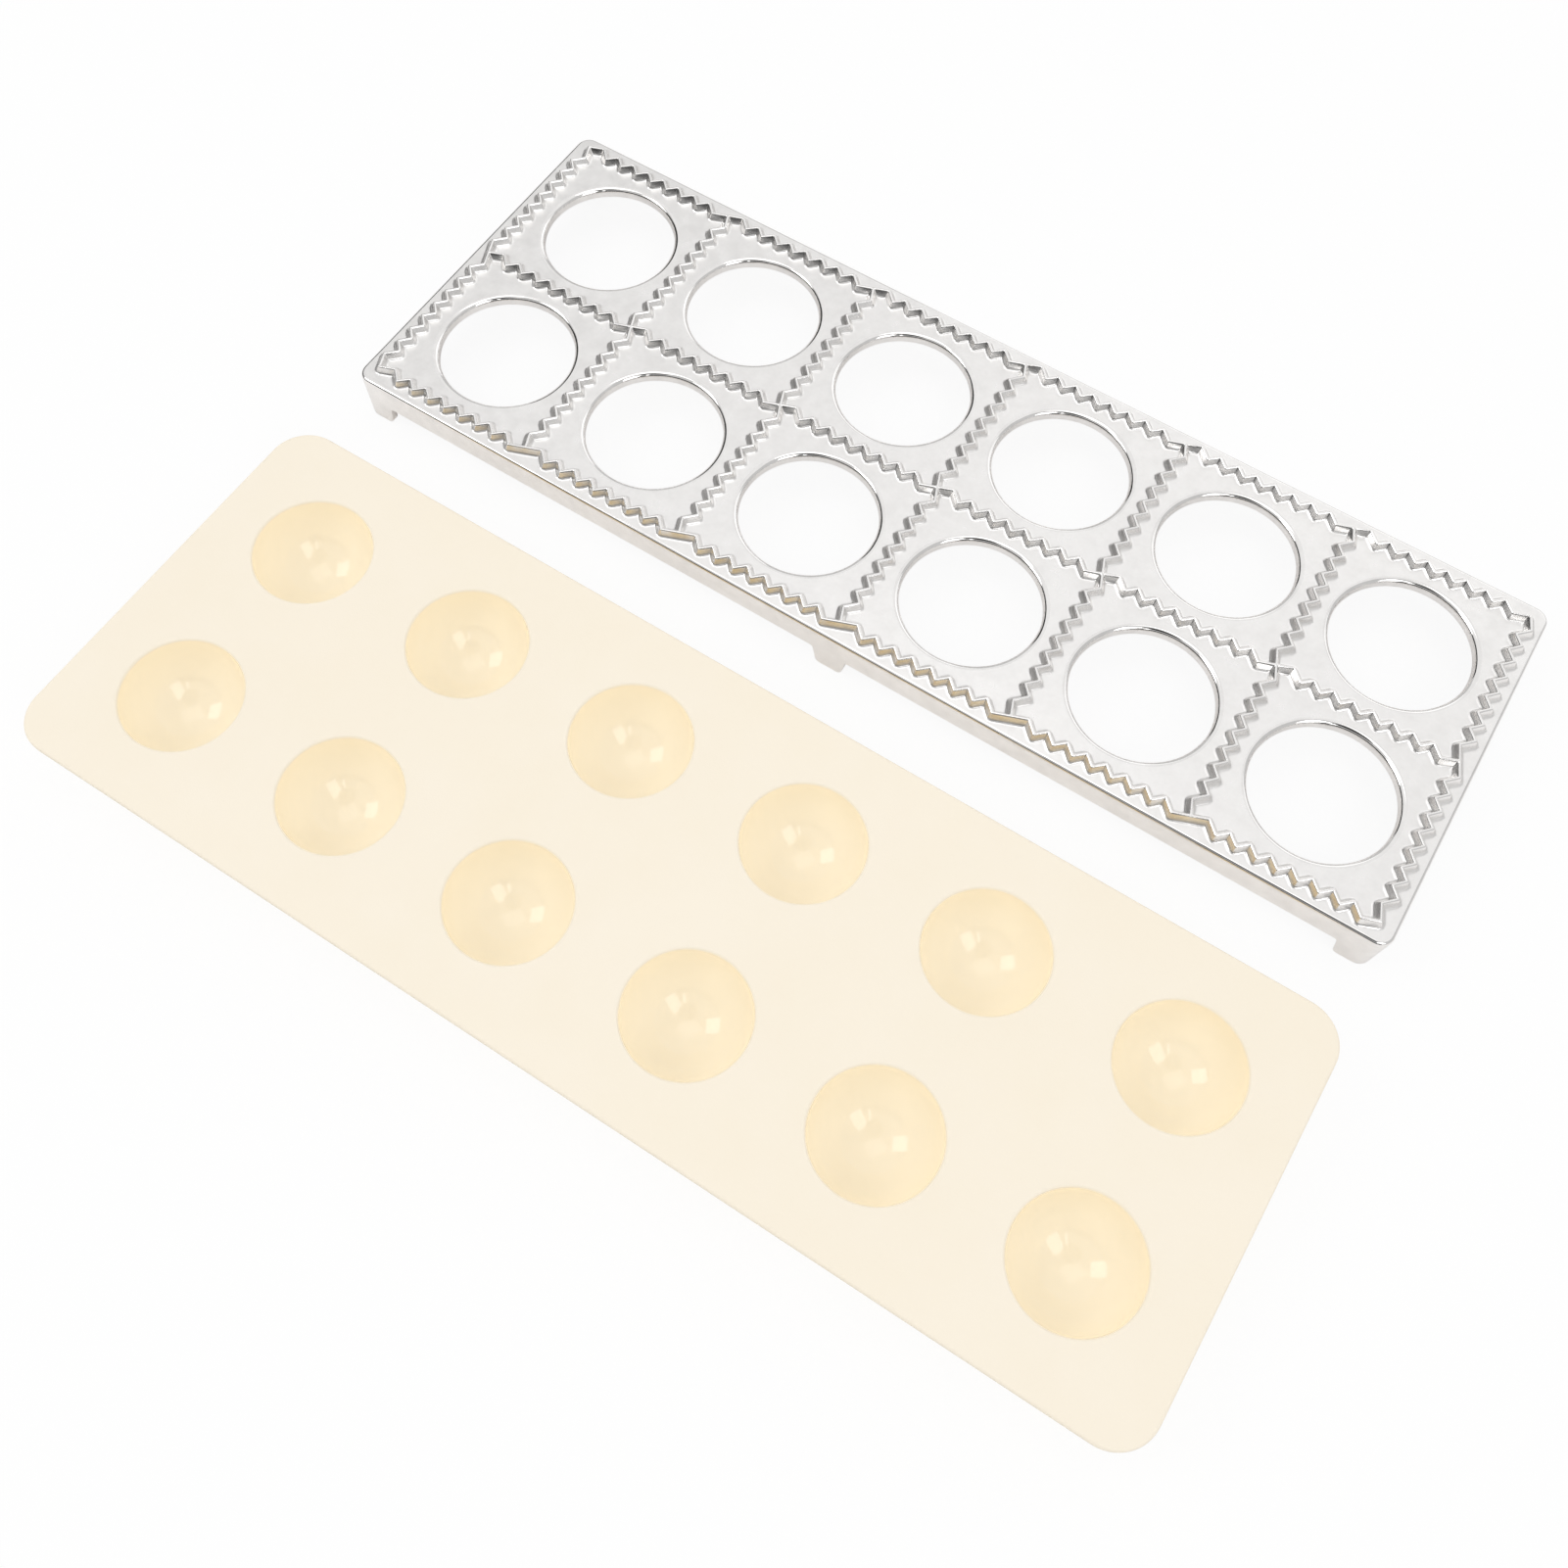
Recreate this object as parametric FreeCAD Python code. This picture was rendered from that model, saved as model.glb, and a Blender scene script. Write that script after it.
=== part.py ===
import FreeCAD, Part
import math
import os

# Ravioli press in millimetres: a cast cutting tray, and a moulded press plate lying beside it.
# X runs along both pieces, Y from the press plate to the tray, and Z up from the table.
# The origin is on the table, at the middle of the ground that the two pieces cover.

Vector = FreeCAD.Vector
ORIGIN = Vector(0, 0, 0)
UP = Vector(0, 0, 1)

# Cells that both pieces share
cell_columns = 6
cell_rows = 2
cell_pitch = 50.0

# Press plate: flat sheet with hollow round bumps
press_end_margin = 4.5
press_side_margin = 5.0
press_thickness = 2.4
press_corner_radius = 10.5
press_edge_round = 0.6
dimple_radius = 15.45
dimple_shoulder = 1.0
dimple_rim_bevel = 0.5
bump_wall = 2.35

# Cutting tray: plate and the holes that the bumps go through
plate_margin = 5.0
plate_thickness = 2.8
plate_corner_radius = 4.0
plate_edge_round = 0.9
dough_clearance = 1.2
lip_round = 2.0
lip_land_share = 0.8

# Cutting tray: skirt, and the feet that hold the bumps off the table
skirt_depth = 8.2
skirt_wall = 2.2
skirt_draft_degrees = 1.2
cavity_corner_radius = 2.0
foot_width = 10.0
corner_foot_reach = 10.4
foot_taper_degrees = 10.0
foot_round = 1.5
foot_root_round = 1.0
table_clearance = 0.6

# Cutting ridges: a zigzag wall along each grid line, with a straight slanted arm at each crossing
ridge_height = 2.0
ridge_top_width = 0.6
ridge_base_width = 2.8
tooth_count = 7
tooth_rise = 1.3
first_tooth = 7.35
arm_reach = 4.35
arm_rise = 1.7

# How the two pieces lie on the table
resting_gap = 22.8

# How far a cut runs past the material, and how closely an edge is matched to its height
overrun = 1.0
match_tolerance = 0.01

# Sizes that follow from these
grid_length = cell_columns * cell_pitch
grid_width = cell_rows * cell_pitch
press_length = grid_length + 2 * press_end_margin
press_width = grid_width + 2 * press_side_margin
plate_length = grid_length + 2 * plate_margin
plate_width = grid_width + 2 * plate_margin
bump_radius = dimple_radius + bump_wall
hole_radius = bump_radius + dough_clearance
lip_radius = min(lip_round, lip_land_share * (cell_pitch / 2 - hole_radius))
press_height = bump_radius + dimple_shoulder
press_underside = press_height - press_thickness
tray_height = press_underside + table_clearance
plate_top = tray_height - ridge_height
plate_underside = plate_top - plate_thickness
skirt_bottom = plate_top - skirt_depth
tooth_step = (cell_pitch - 2 * first_tooth) / (2 * tooth_count - 1)
tray_middle = Vector(0, (resting_gap + press_width) / 2, 0)
press_middle = Vector(0, -(resting_gap + plate_width) / 2, 0)


def cell_centres():
    """Middles of all cells, about the middle of the grid."""
    centres = []
    for column in range(cell_columns):
        for row in range(cell_rows):
            x = (column + 0.5) * cell_pitch - grid_length / 2
            y = (row + 0.5) * cell_pitch - grid_width / 2
            centres.append(Vector(x, y, 0))
    return centres


def rounded_outline(corners):
    """Closed wire through (point, radius) corners, each rounded by its own radius."""
    stretches = []
    arcs = []
    for index, (point, radius) in enumerate(corners):
        to_last = (corners[index - 1][0] - point).normalize()
        to_next = (corners[(index + 1) % len(corners)][0] - point).normalize()
        half_angle = to_last.getAngle(to_next) / 2
        reach = radius / math.tan(half_angle)
        middle = (to_last + to_next).normalize() * (radius / math.sin(half_angle) - radius)
        stretches.append((point + to_last * reach, point + to_next * reach))
        arcs.append((radius, point + middle))
    edges = []
    for index, (start, end) in enumerate(stretches):
        radius, middle = arcs[index]
        if radius:
            edges.append(Part.Arc(start, middle, end).toShape())
        edges.append(Part.LineSegment(end, stretches[(index + 1) % len(stretches)][0]).toShape())
    return Part.Wire(edges)


def rounded_rectangle(length, width, radius, height):
    """Plan outline about the middle of a piece, at the given height."""
    corners = []
    for x_side, y_side in ((-1, -1), (1, -1), (1, 1), (-1, 1)):
        corner = Vector(x_side * length / 2, y_side * width / 2, height)
        corners.append((corner, radius))
    return rounded_outline(corners)


def revolved(outline_edges):
    """Solid made by turning a half section in the XZ plane about Z."""
    return Part.Face(Part.Wire(outline_edges)).revolve(ORIGIN, UP, 360)


def at_cells(shape):
    """A copy of the shape on the middle of every cell."""
    return [shape.translated(centre) for centre in cell_centres()]


def flat_edges_at(shape, height):
    """Edges that lie flat at the given height."""
    found = []
    for edge in shape.Edges:
        box = edge.BoundBox
        if max(abs(box.ZMin - height), abs(box.ZMax - height)) < match_tolerance:
            found.append(edge)
    return found


def circles_at(shape, radius, height):
    """Whole circles of the given radius that lie flat at the given height."""
    length = 2 * math.pi * radius
    return [edge for edge in flat_edges_at(shape, height) if abs(edge.Length - length) < match_tolerance]


# Cutting tray

def draft_at(height):
    """How far the skirt has leaned in at a height below the plate's top."""
    return (plate_top - height) * math.tan(math.radians(skirt_draft_degrees))


def tray_outside():
    """Outer block of the tray, from the plate's rounded edge down to the table."""
    lean = draft_at(0)
    foot_line = rounded_rectangle(plate_length - 2 * lean, plate_width - 2 * lean, plate_corner_radius - lean, 0)
    plate_line = rounded_rectangle(plate_length, plate_width, plate_corner_radius, plate_top)
    block = Part.makeLoft([foot_line, plate_line], True, True)
    return block.makeFillet(plate_edge_round, flat_edges_at(block, plate_top))


def tray_cavity():
    """Hollow inside the skirt, below the plate."""
    lines = []
    for height in (-overrun, plate_underside):
        inset = skirt_wall + draft_at(height)
        length = plate_length - 2 * inset
        width = plate_width - 2 * inset
        lines.append(rounded_rectangle(length, width, cavity_corner_radius, height))
    return Part.makeLoft(lines, True, True)


def skirt_window(start, end, sweep):
    """Space between two feet, cut through the tray in a straight sweep along Y."""
    slant = skirt_bottom * math.tan(math.radians(foot_taper_degrees))
    y = -sweep / 2
    corners = [
        (Vector(start, y, skirt_bottom), foot_root_round),
        (Vector(end, y, skirt_bottom), foot_root_round),
        (Vector(end + slant, y, 0), foot_round),
        (Vector(end + slant + foot_round, y, 0), 0),
        (Vector(end + slant + foot_round, y, -overrun), 0),
        (Vector(start - slant - foot_round, y, -overrun), 0),
        (Vector(start - slant - foot_round, y, 0), 0),
        (Vector(start - slant, y, 0), foot_round),
    ]
    return Part.Face(rounded_outline(corners)).extrude(Vector(0, sweep, 0))


def skirt_windows():
    """The two spaces along each long side, and the one along each end."""
    foot_line = plate_length / 2 - corner_foot_reach
    across = plate_width + 2 * overrun
    windows = [
        skirt_window(-foot_line, -foot_width / 2, across),
        skirt_window(foot_width / 2, foot_line, across),
    ]
    end_line = plate_width / 2 - corner_foot_reach
    end_window = skirt_window(-end_line, end_line, plate_length + 2 * overrun)
    end_window.rotate(ORIGIN, UP, 90)
    windows.append(end_window)
    return windows


def tray_base():
    """Plate, skirt and feet, with a rounded lip on every hole."""
    hole = Part.makeCylinder(hole_radius, plate_thickness + 2 * overrun, Vector(0, 0, plate_underside - overrun))
    base = tray_outside().cut([tray_cavity()] + skirt_windows() + at_cells(hole))
    return base.makeFillet(lip_radius, circles_at(base, hole_radius, plate_top))


# Cutting ridges

def zigzag_points(cells):
    """Middle line of a ridge along X, from one end of the grid to the other."""
    points = [Vector(0, 0, 0)]
    for cell in range(cells):
        start = cell * cell_pitch
        points.append(Vector(start + arm_reach, arm_rise, 0))
        for turn in range(2 * tooth_count):
            side = tooth_rise if turn % 2 else -tooth_rise
            points.append(Vector(start + first_tooth + turn * tooth_step, side, 0))
        points.append(Vector(start + cell_pitch - arm_reach, -arm_rise, 0))
    points.append(Vector(cells * cell_pitch, 0, 0))
    return points


def ridge_ring(points, half_width, end_reach, height):
    """Outline of a ridge at one height: its middle line set off to both sides, with mitred turns."""
    directions = [(after - before).normalize() for before, after in zip(points, points[1:])]
    spine = list(points)
    spine[0] = points[0] - directions[0] * end_reach
    spine[-1] = points[-1] + directions[-1] * end_reach
    left = []
    right = []
    for point, before, after in zip(spine, directions[:1] + directions, directions + directions[-1:]):
        across = UP.cross(before) + UP.cross(after)
        offset = across * (2 * half_width / across.dot(across))
        left.append(point + offset + UP * height)
        right.append(point - offset + UP * height)
    return left + right[::-1]


def solid_between(lower, upper):
    """Solid with flat sides between two outlines of as many points."""
    faces = []
    for ring in (lower, upper):
        faces.append(Part.Face(Part.makePolygon(ring + ring[:1])))
    for index in range(len(lower)):
        corners = [lower[index - 1], lower[index], upper[index], upper[index - 1], lower[index - 1]]
        faces.append(Part.Face(Part.makePolygon(corners)))
    solid = Part.Solid(Part.Shell(faces))
    if solid.Volume < 0:
        solid.reverse()
    return solid


def ridge_wall(cells, reaches_corners):
    """One zigzag ridge with sloping sides, rooted in the plate."""
    points = zigzag_points(cells)
    root_depth = plate_thickness / 2
    slope = (ridge_base_width - ridge_top_width) / ridge_height
    root_width = ridge_base_width + slope * root_depth
    rings = []
    for width, height in ((root_width, plate_top - root_depth), (ridge_top_width, tray_height)):
        end_reach = width / 2 if reaches_corners else 0
        rings.append(ridge_ring(points, width / 2, end_reach, height))
    return solid_between(*rings)


def cutting_ridges():
    """Ridges along every grid line, crossing in slanted arms."""
    along = ridge_wall(cell_columns, True)
    across = ridge_wall(cell_rows, False)
    across.rotate(ORIGIN, UP, 90)
    walls = []
    for row in range(cell_rows + 1):
        walls.append(along.translated(Vector(-grid_length / 2, row * cell_pitch - grid_width / 2, 0)))
    for column in range(cell_columns + 1):
        walls.append(across.translated(Vector(column * cell_pitch - grid_length / 2, -grid_width / 2, 0)))
    return walls


def cutting_tray():
    """The whole casting, at its place on the table."""
    tray = tray_base().multiFuse(cutting_ridges()).removeSplitter()
    return tray.translated(tray_middle)


# Press plate

def half_round(radius):
    """Quarter circle from the lowest point of a ball up to the ball's middle height."""
    lowest = Vector(0, 0, bump_radius - radius)
    slanted = Vector(radius * math.sin(math.pi / 4), 0, bump_radius - radius * math.cos(math.pi / 4))
    widest = Vector(radius, 0, bump_radius)
    return lowest, slanted, widest


def round_bottomed(radius, top):
    """Upright round solid with a ball-shaped lower end."""
    lowest, slanted, widest = half_round(radius)
    rim = Vector(radius, 0, top)
    axis_top = Vector(0, 0, top)
    return revolved([
        Part.Arc(lowest, slanted, widest).toShape(),
        Part.LineSegment(widest, rim).toShape(),
        Part.LineSegment(rim, axis_top).toShape(),
        Part.LineSegment(axis_top, lowest).toShape(),
    ])


def press_plate():
    """The whole moulding, hollows up and standing on its bumps."""
    outline = rounded_rectangle(press_length, press_width, press_corner_radius, press_underside)
    sheet = Part.Face(outline).extrude(Vector(0, 0, press_thickness))
    rims = flat_edges_at(sheet, press_underside) + flat_edges_at(sheet, press_height)
    sheet = sheet.makeFillet(press_edge_round, rims)
    bumps = at_cells(round_bottomed(bump_radius, press_height))
    dimples = at_cells(round_bottomed(dimple_radius, press_height + overrun))
    press = sheet.multiFuse(bumps).cut(dimples).removeSplitter()
    press = press.makeChamfer(dimple_rim_bevel, circles_at(press, dimple_radius, press_height))
    return press.translated(press_middle)


os.makedirs("parts", exist_ok=True)
for name, shape in (("cutting_tray", cutting_tray()), ("press_plate", press_plate())):
    shape.exportStep("parts/" + name + ".step")
    print(name, len(shape.Solids), "solid", shape.isValid(), round(shape.Volume), "cubic mm")
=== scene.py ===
import math

import bmesh
import bpy
import numpy as np
from mathutils import Matrix, Quaternion, Vector


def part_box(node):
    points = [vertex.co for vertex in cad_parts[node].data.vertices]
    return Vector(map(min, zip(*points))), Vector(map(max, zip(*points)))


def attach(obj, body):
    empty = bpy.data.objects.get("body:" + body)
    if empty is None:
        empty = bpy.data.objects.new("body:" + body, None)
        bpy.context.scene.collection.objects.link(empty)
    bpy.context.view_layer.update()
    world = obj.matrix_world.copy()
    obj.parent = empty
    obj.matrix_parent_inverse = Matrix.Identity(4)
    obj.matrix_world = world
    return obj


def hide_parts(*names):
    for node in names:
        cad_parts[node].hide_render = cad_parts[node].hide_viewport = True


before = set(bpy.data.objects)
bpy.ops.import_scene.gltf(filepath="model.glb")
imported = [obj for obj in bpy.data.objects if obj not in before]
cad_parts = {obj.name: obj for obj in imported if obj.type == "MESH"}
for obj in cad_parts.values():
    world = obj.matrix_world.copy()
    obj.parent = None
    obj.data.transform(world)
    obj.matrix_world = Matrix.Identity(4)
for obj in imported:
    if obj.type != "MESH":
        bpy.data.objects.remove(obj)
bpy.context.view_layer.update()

# Ravioli press: a cast aluminium cutting tray and a cream press plate beside it.
# Sizes are in millimetres, in the frame's axes, and become metres when a mesh is made.

MM = 0.001
QUARTER_TURN = math.pi / 2
WHITE = (1, 1, 1, 1)
BLACK = (0, 0, 0, 1)


def in_mm(vector):
    """A point of the frame in millimetres."""
    return np.array(vector) / MM


tray_low, tray_high = (in_mm(corner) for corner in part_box("cutting_tray"))
press_low, press_high = (in_mm(corner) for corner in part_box("press_plate"))

# Cells that both pieces share
cell_columns = 6
cell_rows = 2
cell_pitch = 50.0
grid_length = cell_columns * cell_pitch
grid_width = cell_rows * cell_pitch

# Cutting tray
tray_middle = (tray_low + tray_high) / 2
plate_length = 310.0
plate_width = 110.0
plate_thickness = 2.8
plate_corner_radius = 4.0
plate_edge_round = 0.9
hole_radius = 19.0
lip_reach = 1.5
lip_shoulder = 1.0
lip_shoulder_round = 1.2
lip_slope_degrees = 25.0
lip_edge_round = 1.1
hole_bottom_round = 0.4
skirt_depth = 8.2
skirt_wall = 2.2
skirt_draft_degrees = 1.2
skirt_edge_round = 0.35
foot_width = 10.0
corner_foot_reach = 10.4
foot_taper_degrees = 10.0
foot_round = 1.5
foot_root_round = 1.0

# Zigzag cutting ridges
ridge_height = 2.0
ridge_top_width = 0.6
ridge_base_width = 2.6
ridge_crest_round = 0.4
ridge_root_round = 0.9
ridge_turn_round = 0.25
tooth_count = 7
tooth_rise = 1.3
first_tooth = 7.35
arm_reach = 4.35
arm_rise = 1.7
tooth_step = (cell_pitch - 2 * first_tooth) / (2 * tooth_count - 1)

plate_top = tray_high[2] - ridge_height
plate_underside = plate_top - plate_thickness
skirt_bottom = plate_top - skirt_depth

# Press plate, which stands on its bumps
press_middle = (press_low + press_high) / 2
press_top = press_high[2]
press_length = 309.0
press_width = 110.0
press_thickness = 2.4
press_corner_radius = 10.5
press_edge_round = 0.6
dimple_radius = 15.45
dimple_rim_round = 0.7
bump_wall = 2.35
bump_root_round = 1.0
bump_radius = dimple_radius + bump_wall
press_underside = press_top - press_thickness

# How finely round forms are divided
hole_sides = 96
corner_steps = 8
ridge_round_steps = 4
foot_round_steps = 5
rim_round_steps = 4
press_edge_steps = 5
skirt_edge_steps = 2
ball_steps = 24
bump_first_step = 3

# Points close to both ends of a straight stretch, which keep its shading flat
support_width = 0.12
shortest_supported = 4 * support_width

# What counts as one point, as a straight line and as a sharp edge
merge_distance = 0.002
straight_turn_degrees = 1
sharp_edge_degrees = 38

# How polished the ridges and the skirt are beside the lips and the plate's edge
ridge_polish = 0.55
ridge_polish_start = ridge_height / 3
skirt_polish = 0.4

# Share of a painted glow on the cream plastic, on its underside and high in the hollows, which stands in
# for light that comes through the plastic
painted_underside_glow = 0.35
painted_hollow_glow = 0.2
painted_hollow_glow_start = 6.0

# Noise: its detail and roughness, and the stretch of its values that is spread from none to one
patch_noise = 4, 0.6, 0.32, 0.68
grain_noise = 2, 0.6, 0.25, 0.75
scratch_noise = 3, 0.7, 0.6, 0.75
scratch_turns = 0.42, -0.95
scratch_stretch = 0.05, 1, 1

# Cast aluminium: scales of patches, grain and scratches, tint and satin by patch, polish by scratch
cast_scales = 230, 1100, 900
cast_tint = (0.855, 0.841, 0.827, 1), (0.93, 0.916, 0.902, 1)
cast_satin = 0.36, 0.27
cast_polish = 0.06, 0.14
cast_relief = 0.06

# Cream plastic: the same scales, tints of the flat face and of the hollows, and roughness of both; the
# deeper, more saturated cream of the hollows is painted light, standing in for light bounced inside them
cream_scales = 40, 2600, 500
cream_pale = (0.935, 0.852, 0.705, 1), (0.945, 0.866, 0.73, 1)
cream_painted_deep = (0.98, 0.892, 0.714, 1), (0.986, 0.902, 0.732, 1)
cream_satin = 0.52, 0.46
cream_gloss = 0.035, 0.05
cream_specular = 0.5
cream_relief = 0.12
# Colour and strength of the painted glow, an emission that stands in for light coming through the plastic
painted_glow_tint = (1, 0.76, 0.36, 1)
painted_glow_strength = 0.5

# Depth of the grain in metres, and its height where a face is polished smooth
grain_depth = 0.0001
smooth_grain = 0.5

# Camera, in millimetres
camera_place = Vector((87.88, -163.76, 350.36))
camera_target = Vector((8.63, -23.5, 0))
camera_roll_degrees = 3.163
camera_lens = 34.571
sensor_width = 36.0
nearest_seen = 10
farthest_seen = 50000

# White floor, in metres, how much it glows to the eye and in the metal, and the warm tint of its glow in
# the metal, which is a painted warm reflection of light bounced off the cream plastic
floor_radius = 6
floor_sides = 64
floor_colour = (0.92, 0.92, 0.92, 1)
floor_glow = 0.9
floor_mirror_glow = 0.1
floor_mirror_painted_warmth = (1, 0.89, 0.82, 1)
matt_roughness = 0.9

# Dark screen round the left end and the near side, in metres and degrees
flag_colour = (0.03, 0.03, 0.03, 1)
flag_distance = 2.5
flag_low = 0.35
flag_high = 1.7
flag_start = 140
flag_end = 325
flag_points = 48

# Dark round card behind the camera, in millimetres
card_distance = 1200.0
card_radius = 330.0
card_sides = 32

# Pale room
room_light = 0.605

# Soft lamps: azimuth and elevation in degrees, distance and size in metres, and radiance
soft_lamps = (
    ("key_box", -24, 45, 2.4, (0.85, 1.35), 2.3),
    ("narrow_strip", -50, 48, 2.4, (0.16, 1.25), 2.3),
    ("overhead", 152, 84, 2.6, (1.6, 1.35), 0.85),
    ("side_box", -152, 44, 2.8, (1.2, 1.35), 2.6),
    ("far_panel", 119, 62, 2.8, (4.2, 2.8), 0.29),
    ("far_low_panel", 80, 30, 2.6, (2.4, 1.2), 0.45),
)


# Outlines and sections

def unit(vector):
    """The vector at a length of one."""
    return vector / np.linalg.norm(vector)


def to_left(direction):
    """A direction in plan, a quarter turn to its left."""
    return np.array((-direction[1], direction[0]))


def quarter_turned(points, turns):
    """Points in plan turned about the origin by whole quarter turns."""
    points = np.array(points, float)
    for _ in range(turns):
        points = np.stack((-points[:, 1], points[:, 0]), axis=1)
    return points


def rounded_path(corners, steps):
    """Open path through (x, y, radius) corners, with an arc of so many steps at each rounded one."""
    points = []
    for index, (x, y, radius) in enumerate(corners):
        corner = np.array((x, y), float)
        if not radius:
            points.append(corner)
            continue
        arriving = unit(corner - np.array(corners[index - 1][:2]))
        leaving = unit(np.array(corners[index + 1][:2]) - corner)
        half_turn = math.acos(float(np.clip(arriving @ leaving, -1, 1))) / 2
        start = corner - arriving * radius * math.tan(half_turn)
        inward = unit(leaving - arriving)
        centre = corner + inward * radius / math.cos(half_turn)
        for step in range(steps + 1):
            turn = 2 * half_turn * step / steps
            points.append(centre + (start - centre) * math.cos(turn) + arriving * radius * math.sin(turn))
    return np.array(points)


def with_supports(path):
    """The path with a point close to both ends of each long straight stretch."""
    points = [path[0]]
    for start, end in zip(path, path[1:]):
        along = end - start
        length = np.linalg.norm(along)
        if length > shortest_supported:
            step = along * support_width / length
            points += [start + step, end - step]
        points.append(end)
    return np.array(points)


def circle(radius, count):
    """Points round the origin."""
    turns = 2 * math.pi * np.arange(count) / count
    return np.stack((radius * np.cos(turns), radius * np.sin(turns)), axis=1)


def corner_arc(along, across, radius, shares):
    """Points and outward directions round a corner between two sides, at shares of its quarter turn."""
    turns = QUARTER_TURN * np.asarray(shares)
    outward = np.stack((np.sin(turns), -np.cos(turns)), axis=1)
    return np.array((along, -across)) + outward * radius, outward


def cell_square():
    """Corners of one cell."""
    corner = cell_pitch / 2
    return np.array(((-corner, -corner), (corner, -corner), (corner, corner), (-corner, corner)))


def grid_sides():
    """Quarter turns, starting corner and number of cells of each side of the grid."""
    half = np.array((grid_length, grid_width)) / 2
    corners = (-half, half * (1, -1), half, half * (-1, 1))
    counts = (cell_columns, cell_rows, cell_columns, cell_rows)
    return zip(range(4), corners, counts)


def grid_rectangle():
    """Corners of the cells along the edge of the grid."""
    points = []
    for turns, corner, cells in grid_sides():
        starts = [(cell * cell_pitch, 0) for cell in range(cells)]
        points.append(quarter_turned(starts, turns) + corner)
    return np.concatenate(points)


# Mesh building

def ring_at(mesh, points, heights):
    """Vertices over plan points, at one height or a height for each point."""
    heights = np.broadcast_to(heights, len(points))
    return [mesh.verts.new((x, y, height)) for (x, y), height in zip(points, heights)]


def band(mesh, first, second):
    """Faces between two closed rings of as many vertices."""
    for index in range(len(first)):
        mesh.faces.new((first[index - 1], first[index], second[index], second[index - 1]))


def bands(mesh, rings):
    """Faces between each ring and the next."""
    for first, second in zip(rings, rings[1:]):
        band(mesh, first, second)


def flat_between(mesh, *rings):
    """Flat face bounded by one closed ring, with the other rings as its holes."""
    edges = []
    for ring in rings:
        for index in range(len(ring)):
            pair = (ring[index - 1], ring[index])
            edges.append(mesh.edges.get(pair) or mesh.edges.new(pair))
    bmesh.ops.triangle_fill(mesh, use_beauty=True, edges=edges)


def turned(mesh, section):
    """Rings of (radius, height) points turned about the upright axis; a radius of zero closes the form."""
    closed = section[-1][0] < merge_distance
    open_section = section[:-1] if closed else section
    rings = [ring_at(mesh, circle(radius, hole_sides), height) for radius, height in open_section]
    bands(mesh, rings)
    if closed:
        pole = mesh.verts.new((0, 0, section[-1][1]))
        for index in range(hole_sides):
            mesh.faces.new((rings[-1][index - 1], rings[-1][index], pole))
    return rings


def scale_all(mesh, factor):
    """Scales the whole form about the origin."""
    bmesh.ops.scale(mesh, verts=mesh.verts, vec=(factor, factor, factor))


def mesh_from(mesh, name):
    """Turns what was built into a mesh that objects can use."""
    made = bpy.data.meshes.new(name)
    mesh.to_mesh(made)
    mesh.free()
    return made


def finished_mesh(mesh, name, middle):
    """Closes and turns out the built form, and makes it a mesh in metres about its middle in plan."""
    bmesh.ops.remove_doubles(mesh, verts=mesh.verts, dist=merge_distance)
    bmesh.ops.recalc_face_normals(mesh, faces=mesh.faces)
    bmesh.ops.translate(mesh, verts=mesh.verts, vec=(middle[0], middle[1], 0))
    scale_all(mesh, MM)
    return mesh_from(mesh, name)


def piece_from(mesh, name):
    """Links a mesh as an object at the origin."""
    piece = bpy.data.objects.new(name, mesh)
    bpy.context.scene.collection.objects.link(piece)
    return piece


# Node trees

def add_node(tree, kind, inputs=(), **settings):
    """A node with its settings, and with a number, a colour or a link on each input that is given."""
    node = tree.nodes.new(kind)
    for name, value in settings.items():
        setattr(node, name, value)
    for socket, value in dict(inputs).items():
        if isinstance(value, bpy.types.NodeSocket):
            tree.links.new(value, node.inputs[socket])
        else:
            node.inputs[socket].default_value = value
    return node


def combined(tree, operation, *values, **settings):
    """Number worked out from numbers or links."""
    return add_node(tree, "ShaderNodeMath", enumerate(values), operation=operation, **settings).outputs[0]


def between(tree, share, low, high):
    """Number that goes from low to high with a share; either end may itself be a link."""
    return add_node(tree, "ShaderNodeMix", {0: share, 2: low, 3: high}, data_type="FLOAT").outputs[0]


def blended(tree, share, first, second):
    """Colour that goes from the first to the second with a share; either may itself be a link."""
    return add_node(tree, "ShaderNodeMix", {0: share, 6: first, 7: second}, data_type="RGBA").outputs[2]


# Repeating one cell over the grid

def cell_grid_tree():
    """Geometry nodes that lay one cell's form on every cell of the grid."""
    tree = bpy.data.node_groups.new("cell_grid", "GeometryNodeTree")
    sockets = (("Cell", "Geometry"), ("Columns", "Int"), ("Rows", "Int"), ("Pitch", "Float"),
               ("Seam", "Float"), ("Finish", "Material"))
    for name, kind in sockets:
        tree.interface.new_socket(name, in_out="INPUT", socket_type="NodeSocket" + kind)
    tree.interface.new_socket("Cells", in_out="OUTPUT", socket_type="NodeSocketGeometry")
    given = tree.nodes.new("NodeGroupInput").outputs
    sizes = {}
    for count, side in (("Columns", "X"), ("Rows", "Y")):
        spaces = combined(tree, "SUBTRACT", given[count], 1)
        sizes["Size " + side] = combined(tree, "MULTIPLY", spaces, given["Pitch"])
        sizes["Vertices " + side] = given[count]
    grid = add_node(tree, "GeometryNodeMeshGrid", sizes)
    laid = add_node(tree, "GeometryNodeInstanceOnPoints",
                    {"Points": grid.outputs["Mesh"], "Instance": given["Cell"]})
    real = add_node(tree, "GeometryNodeRealizeInstances", {"Geometry": laid.outputs["Instances"]})
    joined = add_node(tree, "GeometryNodeMergeByDistance",
                      {"Geometry": real.outputs["Geometry"], "Distance": given["Seam"]})
    painted = add_node(tree, "GeometryNodeSetMaterial",
                       {"Geometry": joined.outputs["Geometry"], "Material": given["Finish"]})
    add_node(tree, "NodeGroupOutput", {"Cells": painted.outputs["Geometry"]})
    return tree


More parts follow.
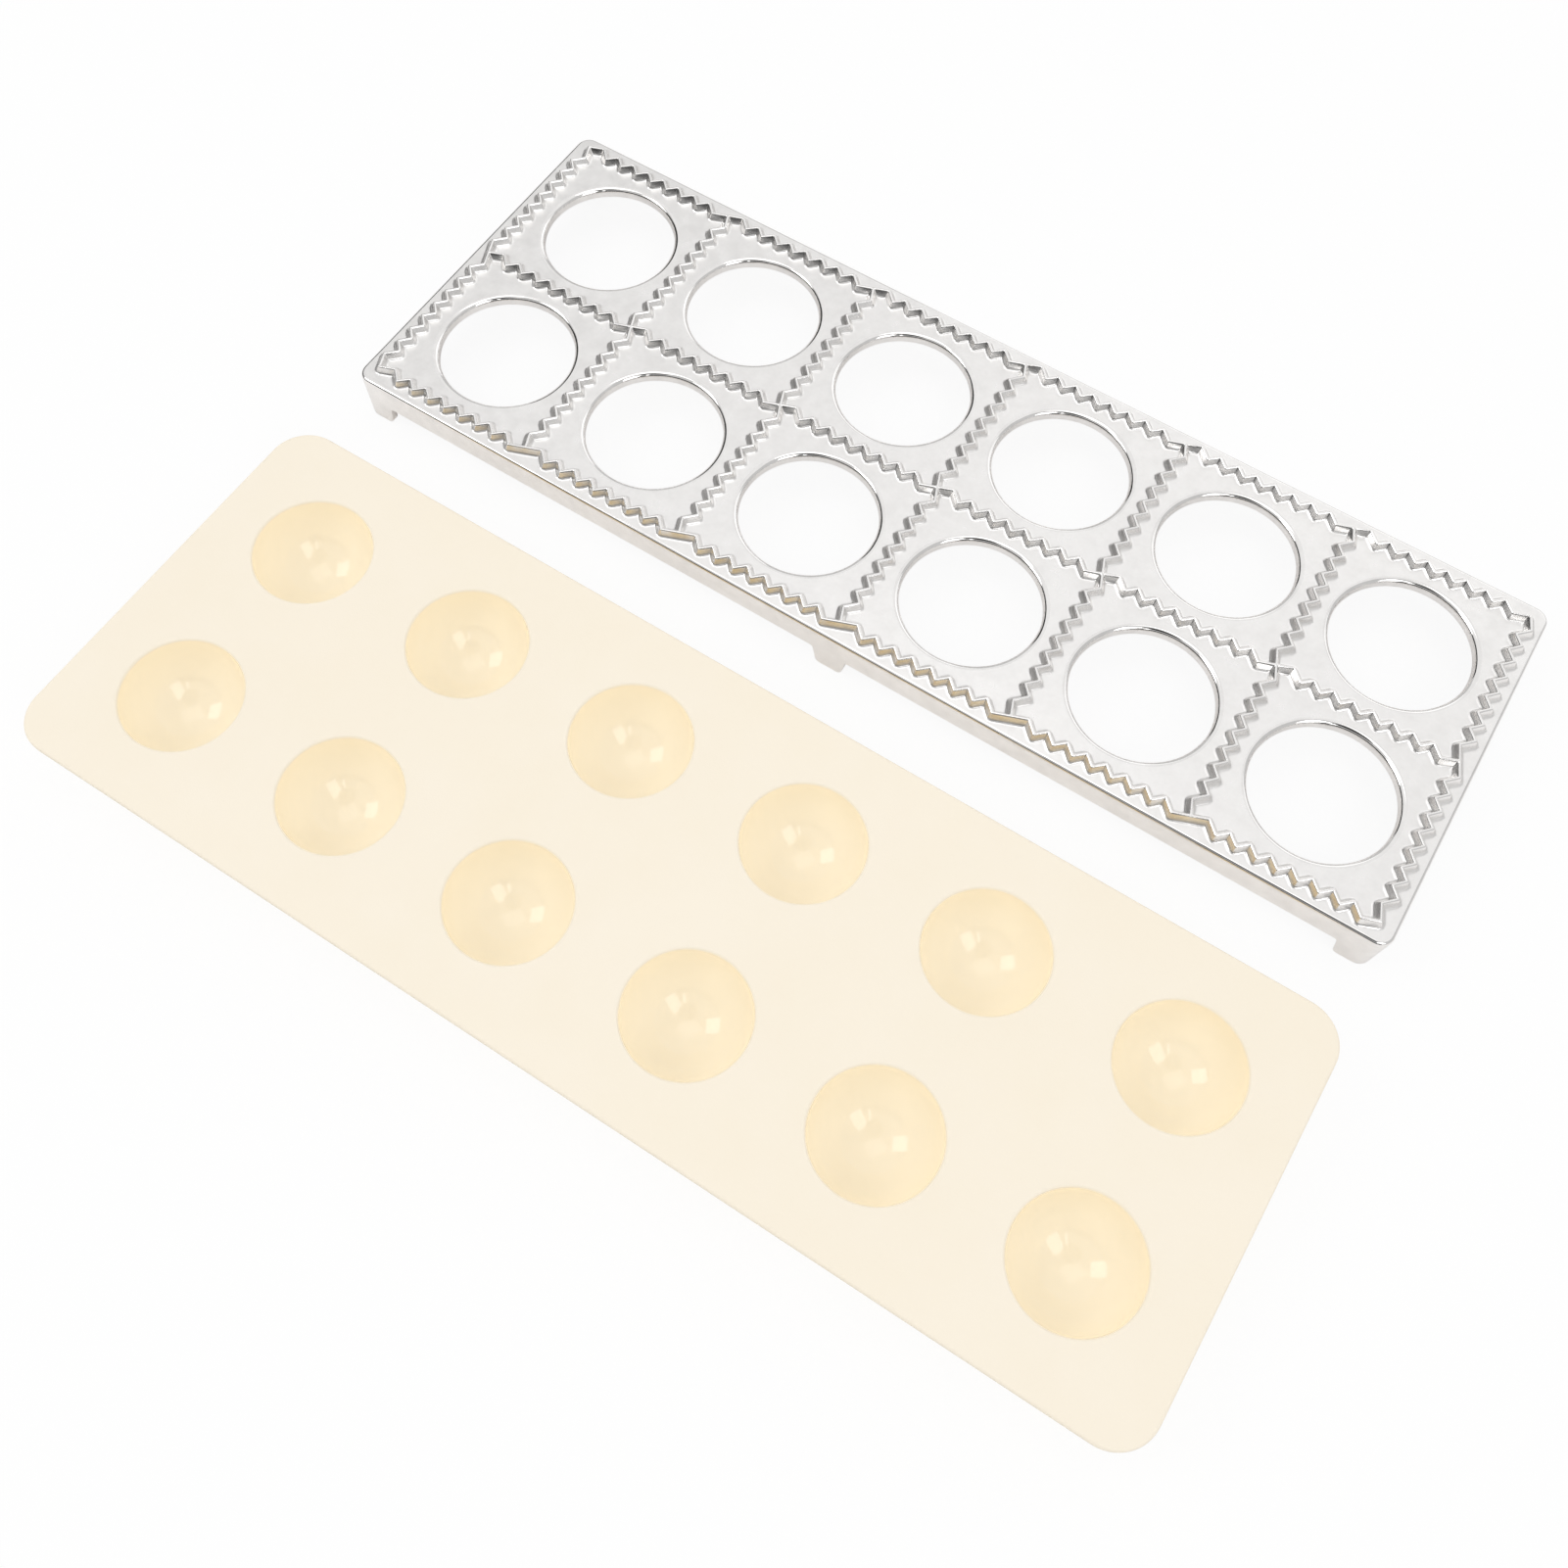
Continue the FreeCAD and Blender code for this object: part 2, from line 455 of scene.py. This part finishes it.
def repeated_over_grid(tree, cell_mesh, finish):
    """Mesh of all cells, in metres about the middle of the grid."""
    cell = piece_from(cell_mesh, cell_mesh.name)
    repeat = cell.modifiers.new("cells", "NODES")
    repeat.node_group = tree
    values = {"Columns": cell_columns, "Rows": cell_rows, "Pitch": cell_pitch * MM,
              "Seam": merge_distance * MM, "Finish": finish}
    for socket in tree.interface.items_tree:
        if socket.name in values:
            repeat[socket.identifier] = values[socket.name]
    evaluated = cell.evaluated_get(bpy.context.evaluated_depsgraph_get())
    cells = bpy.data.meshes.new_from_object(evaluated)
    cell.modifiers.remove(repeat)
    bpy.data.objects.remove(cell)
    return cells


def joined_piece(name, cells, border, middle, finish):
    """One closed piece from the cells and the border round them."""
    mesh = bmesh.new()
    for source in (cells, border):
        mesh.from_mesh(source)
        bpy.data.meshes.remove(source)
    scale_all(mesh, 1 / MM)
    made = finished_mesh(mesh, name, middle)
    made.polygons.foreach_set("use_smooth", [True] * len(made.polygons))
    made.set_sharp_from_angle(angle=math.radians(sharp_edge_degrees))
    made.materials.clear()
    made.materials.append(finish)
    return piece_from(made, name)


# Cutting tray

def ridge_side():
    """Turns of a ridge's middle line along one cell, from one crossing up to the next."""
    turns = [(0, 0), (arm_reach, arm_rise)]
    for turn in range(2 * tooth_count):
        turns.append((first_tooth + turn * tooth_step, tooth_rise if turn % 2 else -tooth_rise))
    turns.append((cell_pitch - arm_reach, -arm_rise))
    return np.array(turns)


def cell_outline():
    """Middle lines of the four ridges round one cell."""
    side = ridge_side() - cell_pitch / 2
    return np.concatenate([quarter_turned(side, turns) for turns in range(4)])


def grid_outline():
    """Middle lines of the ridges round the whole grid, with the grid on the right hand."""
    sides = []
    for turns, corner, cells in grid_sides():
        for cell in range(cells):
            side = ridge_side() + (cell * cell_pitch, 0)
            sides.append(quarter_turned(side, turns) + corner)
    return np.concatenate(sides)[::-1]


def set_off(outline, reach):
    """The outline moved to its left by a reach, with round turns, and how many points each turn has."""
    points = []
    counts = []
    for index, corner in enumerate(outline):
        arriving = unit(corner - outline[index - 1])
        leaving = unit(outline[(index + 1) % len(outline)] - corner)
        sides = to_left(arriving), to_left(leaving)
        turn = math.atan2(arriving[0] * leaving[1] - arriving[1] * leaving[0], arriving @ leaving)
        if abs(turn) < math.radians(straight_turn_degrees):
            found = [corner + sides[0] * reach]
        elif turn < 0:
            found = [corner + side * reach for side in (sides[0], unit(sides[0] + sides[1]), sides[1])]
        else:
            bisector = unit(sides[0] + sides[1])
            mitre = corner + bisector * reach / math.cos(turn / 2)
            back = ridge_turn_round * math.tan(turn / 2)
            middle = mitre + bisector * ridge_turn_round * (1 / math.cos(turn / 2) - 1)
            found = [mitre - arriving * back, middle, mitre + leaving * back]
        points += found
        counts.append(len(found))
    return np.array(points), counts


def ridge_flank(mesh, outline):
    """One side of the ridges along an outline, from the middle of the crest down to the plate."""
    slope = math.atan2(ridge_height, (ridge_base_width - ridge_top_width) / 2)
    foot_reach = ridge_base_width / 2 + ridge_root_round * math.tan(slope / 2)
    section = with_supports(rounded_path([
        (0, tray_high[2], 0),
        (ridge_top_width / 2, tray_high[2], ridge_crest_round),
        (ridge_base_width / 2, plate_top, ridge_root_round),
        (foot_reach + support_width, plate_top, 0),
    ], ridge_round_steps))
    middle = ring_at(mesh, outline, tray_high[2])
    rings = []
    for reach, height in section[1:]:
        points, counts = set_off(outline, reach)
        rings.append(ring_at(mesh, points, height))
    start = 0
    for index, count in enumerate(counts):
        own = rings[0][start:start + count]
        start = (start + count) % len(rings[0])
        for first, second in zip(own, own[1:]):
            mesh.faces.new((middle[index], first, second))
        mesh.faces.new((middle[index], own[-1], rings[0][start], middle[(index + 1) % len(middle)]))
    bands(mesh, rings)
    return rings[-1]


def tray_cell():
    """One cell of the tray: half of each ridge round it, the plate, and the hole with its lip."""
    mesh = bmesh.new()
    plate_ring = ridge_flank(mesh, cell_outline())
    lip_fall = lip_shoulder * math.tan(math.radians(lip_slope_degrees))
    lip_rings = turned(mesh, rounded_path([
        (hole_radius + lip_reach + support_width, plate_top, 0),
        (hole_radius + lip_shoulder, plate_top, lip_shoulder_round),
        (hole_radius, plate_top - lip_fall, lip_edge_round),
        (hole_radius, plate_underside, hole_bottom_round),
        (hole_radius + hole_bottom_round + support_width, plate_underside, 0),
    ], corner_steps))
    flat_between(mesh, plate_ring, lip_rings[0])
    flat_between(mesh, ring_at(mesh, cell_square(), plate_underside), lip_rings[-1])
    return finished_mesh(mesh, "tray_cell", (0, 0))


def side_depths(half_length, windows):
    """Lower edge of the skirt along one side, as (along, height), with the feet between the windows."""
    slant = skirt_bottom * math.tan(math.radians(foot_taper_degrees))
    corners = [(-half_length, 0, 0)]
    for start, end in windows:
        corners += [
            (start - slant, 0, foot_round),
            (start, skirt_bottom, foot_root_round),
            (end, skirt_bottom, foot_root_round),
            (end + slant, 0, foot_round),
        ]
    corners.append((half_length, 0, 0))
    return rounded_path(corners, foot_round_steps)


def skirt_line():
    """Places round the tray's outer edge: plan point, outward direction and height of the lower edge."""
    straight = np.array((plate_length, plate_width)) / 2 - plate_corner_radius
    foot_lines = np.array((plate_length, plate_width)) / 2 - corner_foot_reach
    long_windows = [(-foot_lines[0], -foot_width / 2), (foot_width / 2, foot_lines[0])]
    end_windows = [(-foot_lines[1], foot_lines[1])]
    points = []
    outward = []
    depths = []
    for turns in range(4):
        along, across = straight[::-1] if turns % 2 else straight
        side = side_depths(along, end_windows if turns % 2 else long_windows)
        places = [(place, -across - plate_corner_radius) for place in side[:, 0]]
        shares = np.arange(1, corner_steps) / corner_steps
        arc, arc_outward = corner_arc(along, across, plate_corner_radius, shares)
        points.append(quarter_turned(np.concatenate((places, arc)), turns))
        outward.append(quarter_turned(np.concatenate(([(0, -1)] * len(side), arc_outward)), turns))
        depths.append(np.concatenate((side[:, 1], np.zeros(len(arc)))))
    return np.concatenate(points), np.concatenate(outward), np.concatenate(depths)


def draft_at(height):
    """How far the skirt has leaned in at a height below the plate's top."""
    return (plate_top - height) * math.tan(math.radians(skirt_draft_degrees))


def tray_border():
    """Outer flank of the border ridges, the plate's edge, and the skirt with its feet."""
    mesh = bmesh.new()
    plate_ring = ridge_flank(mesh, grid_outline())
    points, outward, depths = skirt_line()
    edge = with_supports(rounded_path([
        (plate_edge_round + support_width, plate_top, 0),
        (0, plate_top, plate_edge_round),
        (draft_at(skirt_bottom), skirt_bottom, 0),
    ], corner_steps))[:-2]
    rings = [ring_at(mesh, points - outward * inset, height) for inset, height in edge]
    flat_between(mesh, rings[0], plate_ring)
    support = skirt_edge_round + support_width
    for inset, lift in ((0, support), (0, 0), (skirt_wall, 0), (skirt_wall, support)):
        insets = draft_at(depths + lift)[:, None] + inset
        rings.append(ring_at(mesh, points - outward * insets, depths + lift))
    lower_edges = rings[-3:-1]
    inner = skirt_wall + draft_at(plate_underside)
    rings.append(ring_at(mesh, points - outward * inner, plate_underside))
    bands(mesh, rings)
    flat_between(mesh, rings[-1], ring_at(mesh, grid_rectangle(), plate_underside))
    softened = []
    for ring in lower_edges:
        softened += [mesh.edges.get((ring[index - 1], ring[index])) for index in range(len(ring))]
    bmesh.ops.bevel(mesh, geom=softened, offset=skirt_edge_round, offset_type="OFFSET",
                    segments=skirt_edge_steps, profile=0.5, affect="EDGES", clamp_overlap=True)
    return finished_mesh(mesh, "tray_border", (0, 0))


# Press plate

def ball_section(radius, falls):
    """Lower half of a ball as (radius, height) points, at angles below its middle."""
    return [(radius * math.cos(fall), bump_radius - radius * math.sin(fall)) for fall in falls]


def press_cell():
    """One cell of the press plate: the hollow above and the round bump below it."""
    mesh = bmesh.new()
    falls = np.linspace(0, QUARTER_TURN, ball_steps + 1)
    rim = rounded_path([
        (dimple_radius + dimple_rim_round + support_width, press_top, 0),
        (dimple_radius, press_top, dimple_rim_round),
        (dimple_radius, bump_radius, 0),
    ], rim_round_steps)
    hollow = list(rim) + ball_section(dimple_radius, falls[1:])
    ball = ball_section(bump_radius, falls[bump_first_step:])
    root = rounded_path([
        (bump_radius + 2 * bump_root_round, press_underside, 0),
        (bump_radius, press_underside, bump_root_round),
        (*ball[0], 0),
    ], rim_round_steps)
    bump = list(root) + ball[1:]
    for section, height in ((hollow, press_top), (bump, press_underside)):
        rings = turned(mesh, section)
        flat_between(mesh, ring_at(mesh, cell_square(), height), rings[0])
    return finished_mesh(mesh, "press_cell", (0, 0))


def press_border():
    """The press plate's rounded edge, outside the cells."""
    mesh = bmesh.new()
    straight = np.array((press_length, press_width)) / 2 - press_corner_radius
    shares = np.arange(2 * corner_steps + 1) / (2 * corner_steps)
    points = []
    outward = []
    for turns in range(4):
        along, across = straight[::-1] if turns % 2 else straight
        arc, arc_outward = corner_arc(along, across, press_corner_radius, shares)
        points.append(quarter_turned(arc, turns))
        outward.append(quarter_turned(arc_outward, turns))
    points = np.concatenate(points)
    outward = np.concatenate(outward)
    edge = rounded_path([
        (press_edge_round + support_width, press_top, 0),
        (0, press_top, press_edge_round),
        (0, press_underside, press_edge_round),
        (press_edge_round + support_width, press_underside, 0),
    ], press_edge_steps)
    rings = [ring_at(mesh, points - outward * inset, height) for inset, height in edge]
    bands(mesh, rings)
    for ring, height in ((rings[0], press_top), (rings[-1], press_underside)):
        flat_between(mesh, ring, ring_at(mesh, grid_rectangle(), height))
    return finished_mesh(mesh, "press_border", (0, 0))


# Finishes

def new_effect(name, inputs, outputs):
    """An empty shader group with a place and numbers going in and numbers coming out."""
    tree = bpy.data.node_groups.new(name, "ShaderNodeTree")
    tree.interface.new_socket("Place", in_out="INPUT", socket_type="NodeSocketVector")
    for socket in inputs:
        tree.interface.new_socket(socket, in_out="INPUT", socket_type="NodeSocketFloat")
    for socket in outputs:
        tree.interface.new_socket(socket, in_out="OUTPUT", socket_type="NodeSocketFloat")
    return tree, tree.nodes.new("NodeGroupInput").outputs, tree.nodes.new("NodeGroupOutput").inputs


def spread_noise(tree, place, scale, detail, roughness, low, high):
    """Noise with the stretch from low to high spread from none to one."""
    noise = add_node(tree, "ShaderNodeTexNoise",
                     {"Vector": place, "Scale": scale, "Detail": detail, "Roughness": roughness})
    spread = add_node(tree, "ShaderNodeMapRange",
                      {"Value": noise.outputs["Fac"], "From Min": low, "From Max": high})
    return spread.outputs["Result"]


def surface_mottle():
    """Cloudy patches and a finer grain, as a mould leaves them."""
    scales, masks = ("Patch Scale", "Grain Scale"), ("Patches", "Grain")
    tree, given, put_out = new_effect("surface_mottle", scales, masks)
    for scale, mask, noise in zip(scales, masks, (patch_noise, grain_noise)):
        tree.links.new(spread_noise(tree, given["Place"], given[scale], *noise), put_out[mask])
    return tree


def handling_marks():
    """Fine straight scratches in two directions."""
    tree, given, put_out = new_effect("handling_marks", ("Scale",), ("Marks",))
    lines = []
    for turn in scratch_turns:
        laid = add_node(tree, "ShaderNodeMapping",
                        {"Vector": given["Place"], "Rotation": (0, 0, turn), "Scale": scratch_stretch})
        lines.append(spread_noise(tree, laid.outputs[0], given["Scale"], *scratch_noise))
    tree.links.new(combined(tree, "MAXIMUM", *lines), put_out["Marks"])
    return tree


def share_on(tree, name):
    """The share of this name that a piece keeps on its mesh."""
    return add_node(tree, "ShaderNodeAttribute", attribute_name=name).outputs["Fac"]


def new_material(name):
    """A material, its nodes and its shader."""
    material = bpy.data.materials.new(name)
    material.use_nodes = True
    return material, material.node_tree, material.node_tree.nodes["Principled BSDF"]


def skin_of(tree, mottle, marks, patch_scale, grain_scale, mark_scale):
    """Patches, grain and scratches on the object's own coordinates."""
    place = add_node(tree, "ShaderNodeTexCoord").outputs["Object"]
    scales = {"Place": place, "Patch Scale": patch_scale, "Grain Scale": grain_scale}
    skin = add_node(tree, "ShaderNodeGroup", scales, node_tree=mottle)
    scratches = add_node(tree, "ShaderNodeGroup", {"Place": place, "Scale": mark_scale}, node_tree=marks)
    return skin.outputs["Patches"], skin.outputs["Grain"], scratches.outputs["Marks"]


def add_relief(tree, shader, grain, polish, strength):
    """Fine grain that fades out where a face is polished."""
    height = between(tree, polish, grain, smooth_grain)
    bump = add_node(tree, "ShaderNodeBump",
                    {"Height": height, "Strength": strength, "Distance": grain_depth})
    tree.links.new(bump.outputs[0], shader.inputs["Normal"])


def cast_aluminium(mottle, marks):
    """Bright die-cast aluminium: satin and cloudy on the plate, polished on the ridges and lips."""
    material, tree, shader = new_material("cast_aluminium")
    patches, grain, scratches = skin_of(tree, mottle, marks, *cast_scales)
    polish = share_on(tree, "polish")
    tree.links.new(blended(tree, patches, *cast_tint), shader.inputs["Base Color"])
    satin = between(tree, patches, *cast_satin)
    bright = between(tree, scratches, *cast_polish)
    tree.links.new(between(tree, polish, satin, bright), shader.inputs["Roughness"])
    shader.inputs["Metallic"].default_value = 1
    add_relief(tree, shader, grain, polish, cast_relief)
    return material


def cream_plastic(mottle, marks):
    """Cream moulding plastic: satin on the flat face, glossy in the hollows, with painted light: a deeper
    cream in the hollows and an emitted glow.
    """
    material, tree, shader = new_material("cream_plastic")
    patches, grain, scratches = skin_of(tree, mottle, marks, *cream_scales)
    polish = share_on(tree, "polish")
    pale = blended(tree, patches, *cream_pale)
    # The deeper cream of the hollows is painted light bounced inside them, blended in by the polish share
    painted_deep = blended(tree, patches, *cream_painted_deep)
    tree.links.new(blended(tree, polish, pale, painted_deep), shader.inputs["Base Color"])
    satin = between(tree, scratches, *cream_satin)
    glossy = between(tree, patches, *cream_gloss)
    tree.links.new(between(tree, polish, satin, glossy), shader.inputs["Roughness"])
    shader.inputs["Specular IOR Level"].default_value = cream_specular
    # Painted glow: emission standing in for light that comes through the plastic
    glow = blended(tree, share_on(tree, "painted_glow_share"), BLACK, painted_glow_tint)
    tree.links.new(glow, shader.inputs["Emission Color"])
    shader.inputs["Emission Strength"].default_value = painted_glow_strength
    add_relief(tree, shader, grain, polish, cream_relief)
    return material


def set_share(piece, name, shares):
    """Keeps on the mesh a number from none to one for each vertex, such as how polished it is."""
    layer = piece.data.attributes.new(name, "FLOAT", "POINT")
    layer.data.foreach_set("value", np.asarray(shares, dtype=np.float32))


def places_of(piece, middle):
    """Heights of a piece's vertices in millimetres, and how far each is in plan from its cell's middle."""
    places = np.empty(3 * len(piece.data.vertices))
    piece.data.vertices.foreach_get("co", places)
    places = in_mm(places).reshape(-1, 3) - (middle[0], middle[1], 0)
    in_cell = np.mod(places[:, :2] + (grid_length / 2, grid_width / 2), cell_pitch) - cell_pitch / 2
    return places[:, 2], np.hypot(in_cell[:, 0], in_cell[:, 1])


def polish_tray(tray):
    """Polishes the lips and the plate's edge fully, and the ridges and the skirt in part."""
    heights, from_middle = places_of(tray, tray_middle)
    on_lip = from_middle < hole_radius + lip_reach + merge_distance
    on_ridge = heights > plate_top + ridge_polish_start
    on_skirt = heights < plate_top - merge_distance
    on_edge = on_skirt & (heights > plate_top - plate_edge_round)
    polish = np.select([on_lip | on_edge, on_ridge, on_skirt], [1.0, ridge_polish, skirt_polish], 0.0)
    set_share(tray, "polish", polish)


def polish_press(press):
    """Makes the hollows glossy and gives them the painted deeper cream, and paints a glow below the plate
    and high in the hollows, standing in for light that comes through the plastic.
    """
    heights, from_middle = places_of(press, press_middle)
    from_ball = np.hypot(from_middle, np.minimum(heights - bump_radius, 0))
    below_rim = heights < press_top - dimple_rim_round + merge_distance
    set_share(press, "polish", below_rim & (from_ball < dimple_radius + merge_distance))
    underneath = (from_ball > dimple_radius + bump_wall / 2) & (heights < press_underside + merge_distance)
    in_opening = from_ball < dimple_radius + dimple_rim_round + merge_distance
    painted_glow_heights = (painted_hollow_glow_start, bump_radius, press_top - merge_distance)
    rising_painted_glow = np.interp(heights, painted_glow_heights, (0, painted_hollow_glow, 0))
    painted_glow_share = np.select([underneath, in_opening], [painted_underside_glow, rising_painted_glow], 0.0)
    set_share(press, "painted_glow_share", painted_glow_share)


# Stage, light and camera

def add_camera():
    """Camera at the height and angle of the product view."""
    data = bpy.data.cameras.new("camera")
    data.sensor_width = sensor_width
    data.lens = camera_lens
    data.clip_start = nearest_seen * MM
    data.clip_end = farthest_seen * MM
    camera = bpy.data.objects.new("camera", data)
    bpy.context.scene.collection.objects.link(camera)
    camera.location = camera_place * MM
    level = (camera_target - camera_place).to_track_quat("-Z", "Y")
    camera.rotation_mode = "QUATERNION"
    camera.rotation_quaternion = level @ Quaternion((0, 0, 1), math.radians(camera_roll_degrees))
    bpy.context.scene.camera = camera


def matt_material(name, colour):
    """A dull material in one colour, its nodes and its shader."""
    material, tree, shader = new_material(name)
    shader.inputs["Base Color"].default_value = colour
    shader.inputs["Roughness"].default_value = matt_roughness
    return material, tree, shader


def add_floor():
    """Plain white table that stays white to the eye and still takes a soft shadow."""
    mesh = bmesh.new()
    bmesh.ops.create_circle(mesh, cap_ends=True, segments=floor_sides, radius=floor_radius)
    floor = piece_from(mesh_from(mesh, "floor"), "floor")
    material, tree, shader = matt_material("white_table", floor_colour)
    path = tree.nodes.new("ShaderNodeLightPath").outputs
    # In the metal the floor's glow is warm: a painted warm reflection of light bounced off the cream
    # plastic
    white_or_painted_warmth = blended(tree, path["Is Glossy Ray"], WHITE, floor_mirror_painted_warmth)
    glow = add_node(tree, "ShaderNodeEmission", {"Color": white_or_painted_warmth})
    mirrored = combined(tree, "MULTIPLY", path["Is Glossy Ray"], floor_mirror_glow)
    seen = combined(tree, "MAXIMUM", path["Is Camera Ray"], path["Is Transmission Ray"])
    share = combined(tree, "MULTIPLY_ADD", seen, floor_glow, mirrored, use_clamp=True)
    mix = add_node(tree, "ShaderNodeMixShader", {0: share, 1: shader.outputs[0], 2: glow.outputs[0]})
    tree.links.new(mix.outputs[0], tree.nodes["Material Output"].inputs["Surface"])
    floor.data.materials.append(material)


def add_flags():
    """Dark screen and a card behind the camera, for the dark lines in the polished metal."""
    mesh = bmesh.new()
    turns = np.radians(np.linspace(flag_start, flag_end, flag_points))
    line = flag_distance * np.stack((np.cos(turns), np.sin(turns)), axis=1)
    low_edge = ring_at(mesh, line, flag_low)
    high_edge = ring_at(mesh, line, flag_high)
    for index in range(1, flag_points):
        mesh.faces.new((low_edge[index - 1], low_edge[index], high_edge[index], high_edge[index - 1]))
    view = camera_place - camera_target
    card = Matrix.Translation((camera_target + view.normalized() * card_distance) * MM)
    card = card @ view.to_track_quat("Z", "Y").to_matrix().to_4x4()
    bmesh.ops.create_circle(mesh, cap_ends=True, segments=card_sides, radius=card_radius * MM, matrix=card)
    flags = piece_from(mesh_from(mesh, "flags"), "flags")
    flags.data.materials.append(matt_material("dark_screen", flag_colour)[0])
    flags.visible_camera = False
    flags.visible_diffuse = False
    flags.visible_shadow = False


def add_soft_lamp(name, azimuth, elevation, distance, size, radiance):
    """Soft lamp that faces the middle of the object; azimuth runs from +X towards +Y."""
    data = bpy.data.lights.new(name, "AREA")
    data.shape = "RECTANGLE"
    data.size, data.size_y = size
    data.energy = radiance * math.pi * size[0] * size[1]
    lamp = bpy.data.objects.new(name, data)
    bpy.context.scene.collection.objects.link(lamp)
    turn, rise = math.radians(azimuth), math.radians(elevation)
    away = Vector((math.cos(turn) * math.cos(rise), math.sin(turn) * math.cos(rise), math.sin(rise)))
    lamp.location = away * distance
    lamp.rotation_euler = (-away).to_track_quat("-Z", "Y").to_euler()


def add_light():
    """Pale room, with the soft lamps round the object."""
    world = bpy.data.worlds.new("room")
    bpy.context.scene.world = world
    world.use_nodes = True
    room = world.node_tree.nodes["Background"]
    room.inputs["Color"].default_value = WHITE
    room.inputs["Strength"].default_value = room_light
    for lamp in soft_lamps:
        add_soft_lamp(*lamp)


# The object

cell_grid = cell_grid_tree()
mottle = surface_mottle()
marks = handling_marks()
metal = cast_aluminium(mottle, marks)
cream = cream_plastic(mottle, marks)

tray_cells = repeated_over_grid(cell_grid, tray_cell(), metal)
tray = joined_piece("cast_tray", tray_cells, tray_border(), tray_middle, metal)
polish_tray(tray)
press_cells = repeated_over_grid(cell_grid, press_cell(), cream)
press = joined_piece("moulded_press", press_cells, press_border(), press_middle, cream)
polish_press(press)

for piece, body, node, slot in ((tray, "tray", "cutting_tray", "cast_aluminium"),
                                (press, "press", "press_plate", "cream_plastic")):
    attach(piece, body)
    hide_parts(node)

add_camera()
add_floor()
add_flags()
add_light()
bpy.context.scene.view_settings.view_transform = "Standard"
